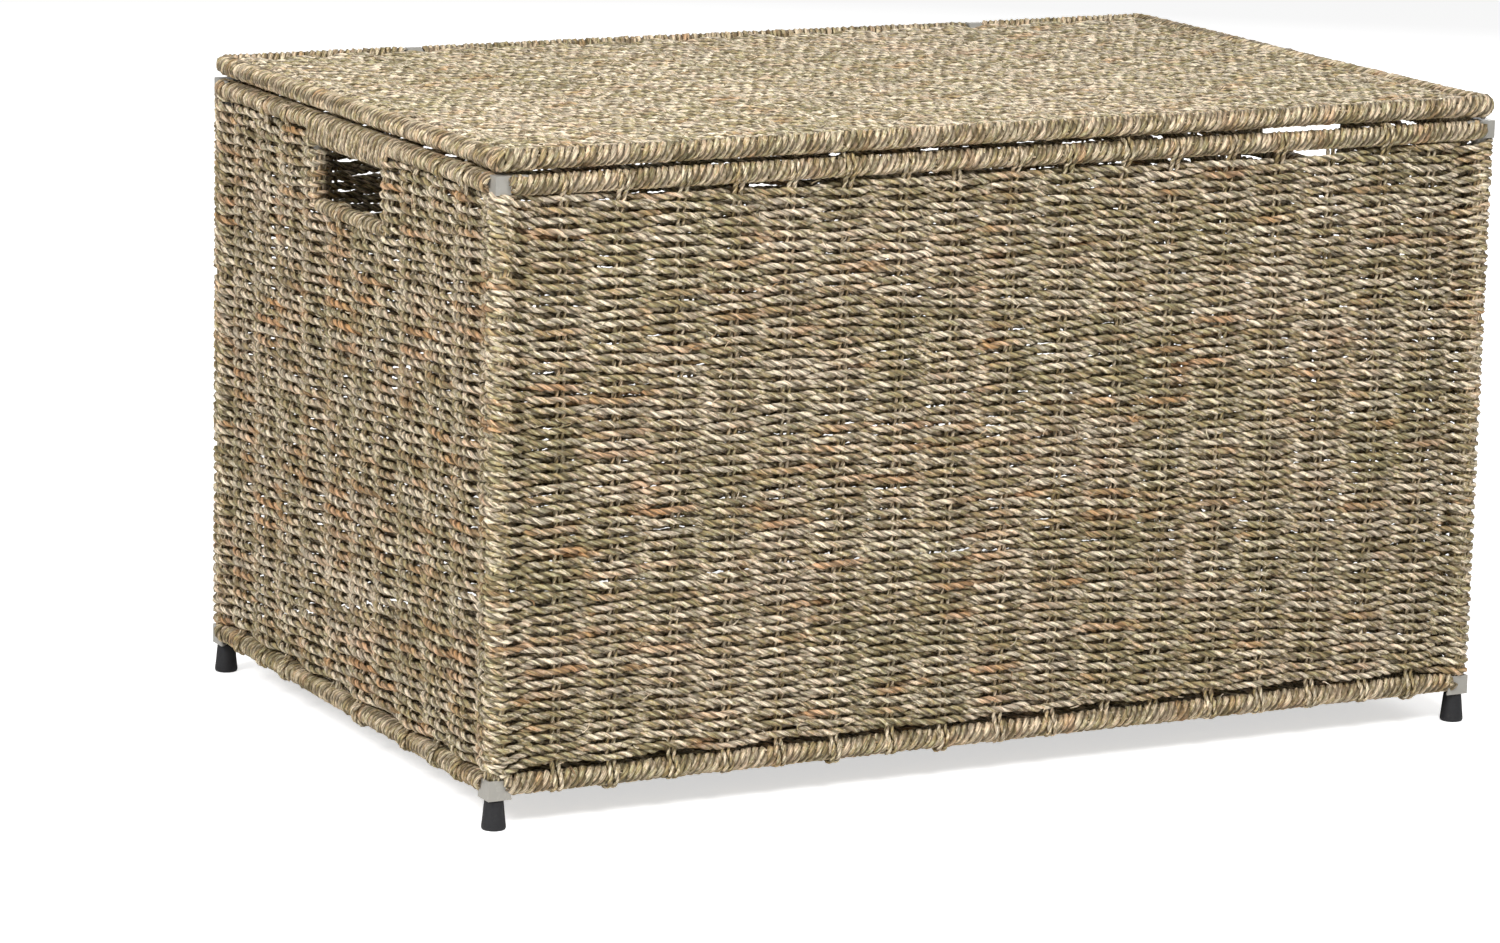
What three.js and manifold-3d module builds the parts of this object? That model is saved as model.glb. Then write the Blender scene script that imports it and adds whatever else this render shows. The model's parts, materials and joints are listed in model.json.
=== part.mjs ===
// Woven seagrass storage trunk: a light steel frame with wrapped rims, woven panels and a hinged lid.
// Millimetres, +Z up. The origin is on the floor, under the middle of the trunk. -Y is the front.
import * as THREE from "three";
import { mergeVertices } from "three/addons/utils/BufferGeometryUtils.js";
import Module from "manifold-3d";

const wasm = await Module();
wasm.setup();

// Overall size
const WIDTH = 685.8;
const DEPTH = 429.3;
const HEIGHT = 400;
const GAP = 0.3;

// Steel frame
const ROD_D = 6;
const POST_D = 10;
const POST_BORE = 8;
const POST_INSET = 8.5;
const PLATE = 1.2;
const PLATE_INSET = 1.9;
const TOP_GUSSET = { leg: 20, foot: 9, height: 11 };
const BASE_GUSSET = { leg: 15, foot: 13, height: 12 };
const BASE_ROOM = 0.5;
const MITRE_GAP = 0.25;

// Wound rims
const RIM_WRAP_D = 13;
const BASE_WRAP_D = 15;
const WRAP_BORE = ROD_D + 2 * GAP;
const LID_LIFT = 2;
const FLANGE_DROP = 1.6;

// Rubber feet
const FOOT_HEIGHT = 18;
const FOOT_TOP_R = 5.7;
const FOOT_SOLE_R = 7.3;
const STEM_R = 3.7;
const STEM_LENGTH = 10;
const SOLE_ROUND = { flat: 1.3, shoulder: 0.3, low: 0.6, high: 1.8 };
const FOOT_TOP_BEVEL = 0.6;

// Woven panels
const WALL_OUTER_INSET = 0.5;
const WALL_THICK = 11;
const LID_WEAVE_THICK = 8;
const LID_WEAVE_DROP = 1.5;
const FLOOR_WEAVE_THICK = 8;

// Handles, one in each end
const HANDLE_WIDTH = 104;
const HANDLE_HEIGHT = 31;
const HANDLE_ROD_DROP = 8;
const SILL_WRAP_D = 10;
const JAMB_ROOM = 0.4;

// Hinge straps on the back rim
const HINGE_X = 206;
const STRAP_WIDTH = 10;
const STRAP_R = 5.6;
const STRAP_WAIST = 5.2;
const PIVOT_BORE = 7.4;
const HINGE_ROOM = 3;

// How far a cutting tool runs past the face it cuts, and how many facets the round forms have
const OVERCUT = 1;
const BAR_FACETS = 10;
const GRIP_FACETS = 12;
const FOOT_FACETS = 28;

// Heights of the three rims, and where their rods, the posts and the wall faces stand in plan
const lidZ = HEIGHT - RIM_WRAP_D / 2;
const rimZ = lidZ - RIM_WRAP_D - LID_LIFT;
const baseZ = FOOT_HEIGHT + BASE_ROOM + BASE_WRAP_D / 2;
const rim = { x: (WIDTH - RIM_WRAP_D) / 2, y: (DEPTH - RIM_WRAP_D) / 2 };
const base = { x: (WIDTH - BASE_WRAP_D) / 2, y: (DEPTH - BASE_WRAP_D) / 2 };
const post = { x: WIDTH / 2 - POST_INSET, y: DEPTH / 2 - POST_INSET };
const postTop = rimZ + RIM_WRAP_D / 2 - FLANGE_DROP;
const wallBottom = baseZ + BASE_WRAP_D / 2 + GAP;
const wallTop = rimZ - RIM_WRAP_D / 2 - GAP;
const handleRodZ = rimZ - HANDLE_ROD_DROP;
const openingTop = handleRodZ - RIM_WRAP_D / 2;
const sillZ = openingTop - HANDLE_HEIGHT - SILL_WRAP_D / 2;
const jambY = (HANDLE_WIDTH + ROD_D) / 2;

const finishes = {
  steel: { color: 0xb4b0a6, metalness: 0.5, roughness: 0.5 },
  weave: { color: 0xa99b78, metalness: 0, roughness: 0.85 },
  winding: { color: 0xb7a881, metalness: 0, roughness: 0.8 },
  rubber: { color: 0x26262a, metalness: 0, roughness: 0.7 },
};

const trunk = new THREE.Group();
const lid = new THREE.Group();
trunk.add(lid);

function place(name, geometry, finish, group = trunk) {
  const mesh = new THREE.Mesh(geometry, new THREE.MeshStandardMaterial(finishes[finish]));
  mesh.name = name;
  group.add(mesh);
  return mesh;
}

// ---- Cutting and joining ----

function toManifold(geometry) {
  const bare = geometry.clone();
  bare.deleteAttribute("normal");
  bare.deleteAttribute("uv");
  const merged = mergeVertices(bare, 1e-4);
  return new wasm.Manifold(new wasm.Mesh({
    numProp: 3,
    vertProperties: new Float32Array(merged.attributes.position.array),
    triVerts: new Uint32Array(merged.index.array),
  }));
}

function toGeometry(solid) {
  const mesh = solid.getMesh();
  const geometry = new THREE.BufferGeometry();
  geometry.setAttribute("position", new THREE.BufferAttribute(new Float32Array(mesh.vertProperties), 3));
  geometry.setIndex(new THREE.BufferAttribute(new Uint32Array(mesh.triVerts), 1));
  geometry.computeVertexNormals();
  return geometry;
}

function cut(body, ...tools) {
  return toGeometry(tools.reduce((solid, tool) => solid.subtract(toManifold(tool)), toManifold(body)));
}

function join(first, ...others) {
  return toGeometry(others.reduce((solid, other) => solid.add(toManifold(other)), toManifold(first)));
}

// ---- Basic forms ----

function block(x0, x1, y0, y1, z0, z1) {
  return new THREE.BoxGeometry(x1 - x0, y1 - y0, z1 - z0)
    .translate((x0 + x1) / 2, (y0 + y1) / 2, (z0 + z1) / 2);
}

function raise(shape, depth, curveSegments = 1) {
  return new THREE.ExtrudeGeometry(shape, { depth, bevelEnabled: false, curveSegments });
}

// A plan outline raised between two heights
function slab(outline, z0, z1) {
  const shape = new THREE.Shape(outline.map(([x, y]) => new THREE.Vector2(x, y)));
  return raise(shape, z1 - z0).translate(0, 0, z0);
}

// A round bar or, with a bore, a sleeve, along "x", "y" or "z" through the point `at`
function bar(axis, at, from, to, outerD, boreD = 0) {
  const shape = new THREE.Shape().absarc(0, 0, outerD / 2, 0, 2 * Math.PI, false);
  if (boreD) shape.holes.push(new THREE.Path().absarc(0, 0, boreD / 2, 0, 2 * Math.PI, false));
  const solid = raise(shape, to - from, BAR_FACETS);
  if (axis === "x") solid.rotateY(Math.PI / 2).translate(from, at[0], at[1]);
  if (axis === "y") solid.rotateX(-Math.PI / 2).translate(at[0], from, at[1]);
  if (axis === "z") solid.translate(at[0], at[1], from);
  return solid;
}

// ---- Corners: posts, gussets and feet ----

// An angle plate in one corner, set out from the trunk's outer corner with its legs along +X and +Y.
// Each leg is `leg` wide at the flange and narrows to `foot`; the flange closes the corner across.
function gusset({ leg, foot, height }, flangeUp) {
  const flangeZ = flangeUp ? height : 0;
  const tipZ = flangeUp ? 0 : height;
  const outline = new THREE.Shape([
    new THREE.Vector2(0, flangeZ),
    new THREE.Vector2(0, tipZ),
    new THREE.Vector2(foot, tipZ),
    new THREE.Vector2(leg, flangeZ),
  ]);
  const face = raise(outline, PLATE);
  const alongX = face.clone().rotateX(Math.PI / 2).translate(0, PLATE, 0);
  const alongY = face.clone().rotateX(Math.PI / 2).rotateZ(Math.PI / 2);
  const flangeLow = flangeUp ? height - PLATE : 0;
  const flangeOutline = [[0, 0], [leg, 0], [leg, PLATE], [PLATE, leg], [0, leg]];
  const flange = slab(flangeOutline, flangeLow, flangeLow + PLATE);
  return join(alongX, alongY, flange).translate(PLATE_INSET, PLATE_INSET, 0);
}

function foot() {
  const profile = [
    [0, 0],
    [FOOT_SOLE_R - SOLE_ROUND.flat, 0],
    [FOOT_SOLE_R - SOLE_ROUND.shoulder, SOLE_ROUND.low],
    [FOOT_SOLE_R, SOLE_ROUND.high],
    [FOOT_TOP_R, FOOT_HEIGHT - FOOT_TOP_BEVEL],
    [FOOT_TOP_R - FOOT_TOP_BEVEL, FOOT_HEIGHT],
    [STEM_R, FOOT_HEIGHT],
    [STEM_R, FOOT_HEIGHT + STEM_LENGTH],
    [0, FOOT_HEIGHT + STEM_LENGTH],
  ];
  const points = profile.map(([r, z]) => new THREE.Vector2(r, z));
  return new THREE.LatheGeometry(points, FOOT_FACETS).rotateX(Math.PI / 2);
}

const corners = [
  { name: "front_left", sx: -1, sy: -1, turn: 0 },
  { name: "front_right", sx: 1, sy: -1, turn: 1 },
  { name: "back_right", sx: 1, sy: 1, turn: 2 },
  { name: "back_left", sx: -1, sy: 1, turn: 3 },
];
const flangeFloor = FOOT_HEIGHT + GAP;
const postFoot = flangeFloor + PLATE + GAP;
const topPlateZ = postTop + GAP + PLATE - TOP_GUSSET.height;
const stemHole = bar("z", [POST_INSET, POST_INSET], -OVERCUT, BASE_GUSSET.height, 2 * (STEM_R + GAP));

for (const { name, sx, sy, turn } of corners) {
  const atPost = [sx * post.x, sy * post.y];
  place(`corner_post_${name}`, bar("z", atPost, postFoot, postTop, POST_D, POST_BORE), "steel");
  place(`foot_${name}`, foot(), "rubber").position.set(...atPost, 0);
  const top = place(`top_gusset_${name}`, gusset(TOP_GUSSET, true), "steel");
  const bottom = place(`base_gusset_${name}`, cut(gusset(BASE_GUSSET, false), stemHole), "steel");
  top.position.set(sx * WIDTH / 2, sy * DEPTH / 2, topPlateZ);
  bottom.position.set(sx * WIDTH / 2, sy * DEPTH / 2, flangeFloor);
  top.rotation.z = turn * Math.PI / 2;
  bottom.rotation.z = turn * Math.PI / 2;
}

// ---- Rims of the body: rods between the posts, each wound with cord ----

const rodStop = { x: post.x - POST_D / 2 - GAP, y: post.y - POST_D / 2 - GAP };
const sides = [
  { name: "front", axis: "x", s: -1 },
  { name: "back", axis: "x", s: 1 },
  { name: "left", axis: "y", s: -1 },
  { name: "right", axis: "y", s: 1 },
];

// Splits the length between two stops at each hinge, and leaves the hinge's room free
function pastHinges(stop) {
  const near = HINGE_X - STRAP_WIDTH / 2 - HINGE_ROOM;
  const far = HINGE_X + STRAP_WIDTH / 2 + HINGE_ROOM;
  return { left: [-stop, -far], middle: [-near, near], right: [far, stop] };
}

for (const { name, axis, s } of sides) {
  const other = axis === "x" ? "y" : "x";
  const reach = axis === "x" ? rodStop.x : rodStop.y;
  const half = (axis === "x" ? WIDTH : DEPTH) / 2;
  const topAt = [s * rim[other], rimZ];
  const baseAt = [s * base[other], baseZ];
  place(`top_rim_rod_${name}`, bar(axis, topAt, -reach, reach, ROD_D), "steel");
  place(`base_rim_rod_${name}`, bar(axis, baseAt, -reach, reach, ROD_D), "steel");

  const baseStop = half - PLATE_INSET - BASE_GUSSET.leg - GAP;
  const baseWinding = bar(axis, baseAt, -baseStop, baseStop, BASE_WRAP_D, WRAP_BORE);
  place(`base_rim_winding_${name}`, baseWinding, "winding");

  const topStop = half - PLATE_INSET - TOP_GUSSET.leg - GAP;
  const winding = (from, to) => bar(axis, topAt, from, to, RIM_WRAP_D, WRAP_BORE);
  if (name === "front") place("top_rim_winding_front", winding(-topStop, topStop), "winding");
  if (name === "back") {
    for (const [part, [from, to]] of Object.entries(pastHinges(topStop))) {
      place(`top_rim_winding_back_${part}`, winding(from, to), "winding");
    }
  }
  if (axis === "y") {
    const gripEnd = jambY + ROD_D / 2 + GAP;
    place(`top_rim_winding_${name}_front`, winding(-topStop, -gripEnd - GAP), "winding");
    place(`top_rim_winding_${name}_back`, winding(gripEnd + GAP, topStop), "winding");
  }
}

// ---- Handles: a rod frame hung under the end rim, its top wound in with the rim as a grip ----

function handleFrame(x) {
  const outer = jambY + ROD_D / 2;
  const jamb = (y) => bar("z", [x, y], sillZ - ROD_D / 2, handleRodZ + ROD_D / 2, ROD_D);
  return join(
    jamb(-jambY),
    jamb(jambY),
    bar("y", [x, handleRodZ], -outer, outer, ROD_D),
    bar("y", [x, sillZ], -outer, outer, ROD_D),
  );
}

// The grip is an upright oblong sleeve round both rods, notched where it meets the jambs
function handleGrip(x) {
  const end = jambY + ROD_D / 2;
  const oblong = (radius) => {
    const path = new THREE.Shape();
    path.absarc(0, 0, radius, 0, Math.PI, false);
    path.absarc(0, -HANDLE_ROD_DROP, radius, Math.PI, 2 * Math.PI, false);
    return path;
  };
  const shape = oblong(RIM_WRAP_D / 2);
  shape.holes.push(oblong(WRAP_BORE / 2));
  const sleeve = raise(shape, 2 * end, GRIP_FACETS).rotateX(Math.PI / 2).translate(x, end, rimZ);
  const room = ROD_D / 2 + JAMB_ROOM;
  const notch = (y) => block(x - ROD_D, x + ROD_D, y - room, y + room, sillZ, handleRodZ + room);
  return { sleeve, notches: [notch(-jambY), notch(jambY)] };
}

for (const { name, s } of sides.filter((side) => side.axis === "y")) {
  const x = s * rim.x;
  const grip = handleGrip(x);
  place(`handle_frame_${name}`, handleFrame(x), "steel");
  place(`handle_grip_${name}`, cut(grip.sleeve, ...grip.notches), "winding");
  const inside = HANDLE_WIDTH / 2 - GAP;
  const sillWinding = bar("y", [x, sillZ], -inside, inside, SILL_WRAP_D, WRAP_BORE);
  place(`handle_sill_winding_${name}`, sillWinding, "winding");
}

// ---- Woven walls, mitred on the corner diagonals and hollowed round the posts ----

const wallInner = WALL_OUTER_INSET + WALL_THICK;
const roomAt = (x, y) => bar("z", [x, y], wallBottom - OVERCUT, wallTop + OVERCUT, POST_D + 2 * GAP);
const postRoom = corners.map(({ sx, sy }) => roomAt(sx * post.x, sy * post.y));

function wallOutline(half, depthHalf, s) {
  const outer = [half - WALL_OUTER_INSET - MITRE_GAP, s * (depthHalf - WALL_OUTER_INSET)];
  const inner = [half - wallInner - MITRE_GAP, s * (depthHalf - wallInner)];
  const loop = [[-outer[0], outer[1]], [outer[0], outer[1]], [inner[0], inner[1]], [-inner[0], inner[1]]];
  return s < 0 ? loop : loop.reverse();
}

for (const { name, axis, s } of sides) {
  const alongX = axis === "x";
  const outline = alongX ? wallOutline(WIDTH / 2, DEPTH / 2, s) : wallOutline(DEPTH / 2, WIDTH / 2, -s);
  const wall = slab(outline, wallBottom, wallTop);
  if (alongX) {
    place(`woven_wall_${name}`, cut(wall, ...postRoom), "weave");
  } else {
    wall.rotateZ(Math.PI / 2);
    const notchY = jambY + ROD_D / 2 + GAP;
    const outside = s * (WIDTH / 2 + OVERCUT);
    const inside = s * (WIDTH / 2 - wallInner - OVERCUT);
    const notchFoot = sillZ - SILL_WRAP_D / 2 - GAP;
    const notch = block(
      Math.min(outside, inside), Math.max(outside, inside),
      -notchY, notchY,
      notchFoot, wallTop + OVERCUT,
    );
    place(`woven_wall_${name}`, cut(wall, notch, ...postRoom), "weave");
  }
}

// ---- Woven floor, laced inside the base rim ----

const floorHalf = { x: base.x - BASE_WRAP_D / 2 - GAP, y: base.y - BASE_WRAP_D / 2 - GAP };
place("woven_floor", block(
  -floorHalf.x, floorHalf.x, -floorHalf.y, floorHalf.y,
  baseZ - FLOOR_WEAVE_THICK / 2, baseZ + FLOOR_WEAVE_THICK / 2,
), "weave");

// ---- Lid: a wound rod rim, a woven top and two straps that turn on the back rim rod ----

const longRodEnd = rim.x + ROD_D / 2;
const sideRodEnd = rim.y - ROD_D / 2 - GAP;
const lidHalf = { x: rim.x - RIM_WRAP_D / 2 - GAP, y: rim.y - RIM_WRAP_D / 2 - GAP };
const sideRodHoles = [-1, 1].map((s) => bar("y", [s * rim.x, lidZ], -rim.y, rim.y, WRAP_BORE));

for (const { name, axis, s } of sides) {
  if (axis === "x") {
    const at = [s * rim.y, lidZ];
    const winding = (from, to) => cut(bar("x", at, from, to, RIM_WRAP_D, WRAP_BORE), ...sideRodHoles);
    place(`lid_rod_${name}`, bar("x", at, -longRodEnd, longRodEnd, ROD_D), "steel", lid);
    if (name === "front") place("lid_winding_front", winding(-WIDTH / 2, WIDTH / 2), "winding", lid);
    if (name === "back") {
      for (const [part, [from, to]] of Object.entries(pastHinges(WIDTH / 2))) {
        place(`lid_winding_back_${part}`, winding(from, to), "winding", lid);
      }
    }
  } else {
    const at = [s * rim.x, lidZ];
    place(`lid_rod_${name}`, bar("y", at, -sideRodEnd, sideRodEnd, ROD_D), "steel", lid);
    const sideWinding = bar("y", at, -lidHalf.y, lidHalf.y, RIM_WRAP_D, WRAP_BORE);
    place(`lid_winding_${name}`, sideWinding, "winding", lid);
  }
}

const lidWeaveTop = HEIGHT - LID_WEAVE_DROP;
place("woven_lid", block(
  -lidHalf.x, lidHalf.x, -lidHalf.y, lidHalf.y, lidWeaveTop - LID_WEAVE_THICK, lidWeaveTop,
), "weave", lid);

// A strap with two eyes: the upper grips the lid's back rod, the lower turns on the back rim rod
function hingeStrap(fromX) {
  const toX = fromX + STRAP_WIDTH;
  const eye = (z, outerD) => bar("x", [rim.y, z], fromX, toX, outerD);
  const bore = (z, boreD) => bar("x", [rim.y, z], fromX - OVERCUT, toX + OVERCUT, boreD);
  const waist = block(fromX, toX, rim.y - STRAP_WAIST / 2, rim.y + STRAP_WAIST / 2, rimZ, lidZ);
  const blank = join(eye(lidZ, 2 * STRAP_R), eye(rimZ, 2 * STRAP_R), waist);
  return cut(blank, bore(lidZ, WRAP_BORE), bore(rimZ, PIVOT_BORE));
}

for (const [name, s] of [["left", -1], ["right", 1]]) {
  place(`hinge_strap_${name}`, hingeStrap(s * HINGE_X - STRAP_WIDTH / 2), "steel", lid);
}

export default trunk;
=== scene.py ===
"""A woven seagrass storage trunk: twisted cord woven and wound over a light steel frame."""

import copy
import json
import math

import bpy
import numpy as np
from mathutils import Matrix, Vector

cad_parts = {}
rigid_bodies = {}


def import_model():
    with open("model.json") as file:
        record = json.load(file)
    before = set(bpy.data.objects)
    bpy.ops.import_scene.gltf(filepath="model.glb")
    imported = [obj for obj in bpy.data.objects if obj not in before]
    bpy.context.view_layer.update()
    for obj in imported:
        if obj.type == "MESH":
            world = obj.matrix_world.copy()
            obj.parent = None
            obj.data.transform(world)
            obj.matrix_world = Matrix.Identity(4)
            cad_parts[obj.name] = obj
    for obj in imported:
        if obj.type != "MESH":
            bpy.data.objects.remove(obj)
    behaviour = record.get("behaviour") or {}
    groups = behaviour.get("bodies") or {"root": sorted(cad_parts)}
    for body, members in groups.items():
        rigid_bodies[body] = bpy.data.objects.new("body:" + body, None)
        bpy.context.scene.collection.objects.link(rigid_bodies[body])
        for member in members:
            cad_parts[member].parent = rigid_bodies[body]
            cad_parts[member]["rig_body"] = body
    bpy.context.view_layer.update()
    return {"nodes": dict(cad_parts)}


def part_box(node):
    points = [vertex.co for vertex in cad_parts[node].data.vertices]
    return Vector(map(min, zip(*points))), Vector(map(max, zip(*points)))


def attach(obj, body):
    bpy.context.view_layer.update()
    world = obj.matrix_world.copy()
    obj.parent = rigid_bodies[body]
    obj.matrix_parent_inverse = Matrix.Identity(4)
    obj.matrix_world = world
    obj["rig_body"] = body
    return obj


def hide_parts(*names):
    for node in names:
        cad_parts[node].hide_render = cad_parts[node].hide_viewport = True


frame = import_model()

MM = 0.001
SEED = 7451

# ---------------------------------------------------------------- sizes taken from the frame


def middle(node):
    low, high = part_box(node)
    return (low + high) / 2


rim_x = middle("top_rim_rod_right").x
rim_y = middle("top_rim_rod_back").y
rim_z = middle("top_rim_rod_front").z
lid_z = middle("lid_rod_front").z
base_x = middle("base_rim_rod_right").x
base_y = middle("base_rim_rod_back").y
base_z = middle("base_rim_rod_front").z
post = middle("corner_post_back_right")
rod_r = (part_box("top_rim_rod_front")[1].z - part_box("top_rim_rod_front")[0].z) / 2
post_r = (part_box("corner_post_front_left")[1].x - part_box("corner_post_front_left")[0].x) / 2
rim_wrap_r = (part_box("lid_winding_front")[1].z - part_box("lid_winding_front")[0].z) / 2
base_wrap_r = (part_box("base_rim_winding_front")[1].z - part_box("base_rim_winding_front")[0].z) / 2
sill_wrap_r = (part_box("handle_sill_winding_left")[1].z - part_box("handle_sill_winding_left")[0].z) / 2
wall_low, wall_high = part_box("woven_wall_front")
sill = middle("handle_sill_winding_left")
jamb_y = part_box("handle_frame_left")[1].y - rod_r
grip_low, grip_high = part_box("handle_grip_left")

# ---------------------------------------------------------------- cord

# One turn of a two-ply cord's outline: degrees round, and share of the radius. Two plies with a groove
# between them on each side.
PLY_OUTLINE = ((-38, 1.0), (38, 1.0), (90, 0.52), (142, 1.0), (218, 1.0), (270, 0.52))
PLY_ANGLE = np.radians([degrees for degrees, share in PLY_OUTLINE])
PLY_SHARE = np.array([share for degrees, share in PLY_OUTLINE])
# 1 at the vertices in the grooves between the plies, where the seagrass colour gets painted shade
GROOVE = (PLY_SHARE < 0.9).astype(float)
SIDES = len(PLY_OUTLINE)

# Radii of the cords, and the length of one full twist of each kind
WEFT_R = 2.2 * MM
STAKE_R = 1.4 * MM
CLAD_R = 1.5 * MM
TWIST = 17 * MM
STAKE_TWIST = 12 * MM
WINDING_TWIST = 20 * MM
LINING_TWIST = 26 * MM
FIBRE_TWIST = 60 * MM


def wander(rng, along, wavelength):
    """A smooth random course between about -1 and 1, for places `along` a cord."""
    total = np.zeros_like(along)
    for stretch, share in ((1.0, 0.5), (0.43, 0.3), (2.3, 0.35)):
        start = rng.uniform(0, 2 * math.pi)
        total += share * np.sin(along * 2 * math.pi / (wavelength * stretch) + start)
    return total


def unit(vectors):
    return vectors / np.maximum(np.linalg.norm(vectors, axis=-1, keepdims=True), 1e-12)


def lengths_along(path):
    return np.concatenate([[0.0], np.cumsum(np.linalg.norm(np.diff(path, axis=0), axis=1))])


def smooth_path(points, step):
    """A soft curve through a few chosen points, sampled evenly."""
    points = np.asarray(points, float)
    ends = np.vstack([2 * points[0] - points[1], points, 2 * points[-1] - points[-2]])
    fine = []
    for a, b, c, d in zip(ends, ends[1:], ends[2:], ends[3:], strict=False):
        t = np.linspace(0, 1, 9)[:-1, None]
        bend = (2 * a - 5 * b + 4 * c - d) * t**2
        turn = (3 * b - a - 3 * c + d) * t**3
        fine.append(0.5 * (2 * b + (c - a) * t + bend + turn))
    fine = np.vstack([*fine, points[-1:]])
    s = lengths_along(fine)
    even = np.linspace(0, s[-1], max(int(s[-1] / step), 2) + 1)
    return np.stack([np.interp(even, s, fine[:, i]) for i in range(3)], 1)


class Cords:
    """Twisted cords laid one by one into a single mesh of closed tubes."""

    def __init__(self, name, seed):
        self.name = name
        self.rng = np.random.default_rng(SEED + seed)
        self.rings = []

    def lay(self, path, facing, radius, turn=TWIST, width=1.0, thickness=1.0, warmth=0.0):
        """Lays a cord along path. facing points across it, and thickness is measured that way."""
        rng = self.rng
        s = lengths_along(path)
        tangent = unit(np.gradient(path, axis=0))
        facing = np.broadcast_to(facing, path.shape)
        across = unit(facing - tangent * np.sum(facing * tangent, axis=1, keepdims=True))
        aside = np.cross(tangent, across)
        swell = 1 + 0.07 * wander(rng, s, 45 * MM) + 0.08 * wander(rng, s, 9 * MM)
        radius = np.broadcast_to(radius, s.shape) * swell
        slack = 0.6 * wander(rng, s, 120 * MM)
        twisted = 2 * math.pi * s / turn + rng.uniform(0, 2 * math.pi) + slack
        angle = PLY_ANGLE[None] + twisted[:, None]
        reach = radius[:, None] * PLY_SHARE[None] * rng.normal(1, 0.055, (len(s), SIDES))
        points = (
            path[:, None]
            + (reach * np.cos(angle) * thickness)[..., None] * across[:, None]
            + (reach * np.sin(angle) * width)[..., None] * aside[:, None]
        )
        start = rng.uniform(0, 3)
        fibre = np.empty((len(s), SIDES, 3))
        fibre[..., 0] = (start + s)[:, None]
        fibre[..., 1] = np.cos(PLY_ANGLE)[None] * radius[:, None]
        fibre[..., 2] = np.sin(PLY_ANGLE)[None] * radius[:, None]
        shade = 0.5 + 0.3 * wander(rng, s, 210 * MM) + 0.18 * wander(rng, s, 34 * MM)
        brown = 0.5 + 0.5 * wander(rng, s, 260 * MM) + warmth
        tone = np.empty((len(s), SIDES, 3))
        tone[..., 0] = shade[:, None] + np.array([0.15, 0.15, 0, -0.15, -0.15, 0])[None]
        tone[..., 1] = brown[:, None]
        # The third value marks the grooves between the plies, where the material paints shade.
        tone[..., 2] = GROOVE[None]
        self.rings.append((points, fibre, tone, s))

    def faces_and_map(self):
        """The loops of every tube's quads and end caps, and their places on a map of even strips."""
        total = sum(r[3][-1] for r in self.rings)
        girth = 2 * math.pi * WEFT_R
        strips = max(1, round(math.sqrt(total / girth)))
        strip_length = total / strips * 1.02
        quads, quad_uv, caps, cap_uv = [], [], [], []
        first, begun = 0, 0.0
        for _, _, _, s in self.rings:
            n = len(s)
            ring = np.arange(n - 1)[:, None] * SIDES + first
            side, after = np.arange(SIDES)[None], (np.arange(SIDES)[None] + 1) % SIDES
            onward = ring + SIDES
            quads.append(np.stack([ring + after, onward + after, onward + side, ring + side], -1))
            strip = np.floor((begun + (s[1:] + s[:-1]) / 2) / strip_length)
            low = (begun + s[:-1]) / strip_length - strip
            high = (begun + s[1:]) / strip_length - strip
            v = [np.broadcast_to(0.08 + 0.84 * (side + i) / SIDES, (n - 1, SIDES)) for i in (0, 1)]
            u = [np.broadcast_to(x[:, None] * 0.98 + 0.01, (n - 1, SIDES)) for x in (low, high)]
            rows = [(strip[:, None] + x) / (strips + 1) for x in v]
            corners = [(u[0], rows[1]), (u[1], rows[1]), (u[1], rows[0]), (u[0], rows[0])]
            quad_uv.append(np.stack([np.stack(c, -1) for c in corners], -2))
            for end, place, order in ((0, 0, -1), (n - 1, -1, 1)):
                caps.append((first + end * SIDES + np.arange(SIDES))[::order])
                at = (low[place] if end == 0 else high[place]) * 0.98 + 0.01
                spot = 0.3 / (strips + 1)
                round_cap = PLY_ANGLE[::order]
                cap_uv.append(np.stack([
                    at + 0.1 * spot * np.cos(round_cap),
                    (strip[place] + 0.5) / (strips + 1) + spot * np.sin(round_cap),
                ], -1))
            first += n * SIDES
            begun += s[-1]
        return quads, quad_uv, caps, cap_uv

    def make(self, material, body, slot, *nodes):
        quads, quad_uv, caps, cap_uv = self.faces_and_map()
        quads = np.concatenate([q.reshape(-1, 4) for q in quads])
        caps = np.array(caps)
        vertices = np.concatenate([r[0].reshape(-1, 3) for r in self.rings])
        loops = np.concatenate([quads.ravel(), caps.ravel()])
        sizes = np.concatenate([np.full(len(quads), 4), np.full(len(caps), SIDES)])
        uv = np.concatenate([*(q.reshape(-1, 2) for q in quad_uv), *cap_uv])
        mesh = bpy.data.meshes.new(self.name)
        mesh.vertices.add(len(vertices))
        mesh.vertices.foreach_set("co", vertices.astype(np.float32).ravel())
        mesh.loops.add(len(loops))
        mesh.loops.foreach_set("vertex_index", loops.astype(np.int32))
        mesh.polygons.add(len(sizes))
        starts = np.concatenate([[0], np.cumsum(sizes)[:-1]])
        mesh.polygons.foreach_set("loop_start", starts.astype(np.int32))
        mesh.update(calc_edges=True)
        mesh.polygons.foreach_set("use_smooth", np.ones(len(sizes), bool))
        for attribute, index in (("fibre", 1), ("cord_tone_and_painted_shade", 2)):
            values = np.concatenate([r[index].reshape(-1, 3) for r in self.rings])
            layer = mesh.attributes.new(attribute, "FLOAT_VECTOR", "POINT")
            layer.data.foreach_set("vector", values.astype(np.float32).ravel())
        layer = mesh.uv_layers.new(name="OFBake")
        layer.uv.foreach_set("vector", uv.astype(np.float32).ravel())
        return settle(self.name, mesh, material, body, slot, *nodes)


def settle(name, mesh, material, body, slot, *nodes):
    """Puts a finished mesh in the scene, on its body and in place of the plain solids it stands for."""
    piece = bpy.data.objects.new(name, mesh)
    bpy.context.scene.collection.objects.link(piece)
    mesh.materials.clear()
    mesh.materials.append(material)
    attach(piece, body)
    if nodes:
        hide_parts(*nodes)
    return piece


# ---------------------------------------------------------------- shader parts


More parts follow.
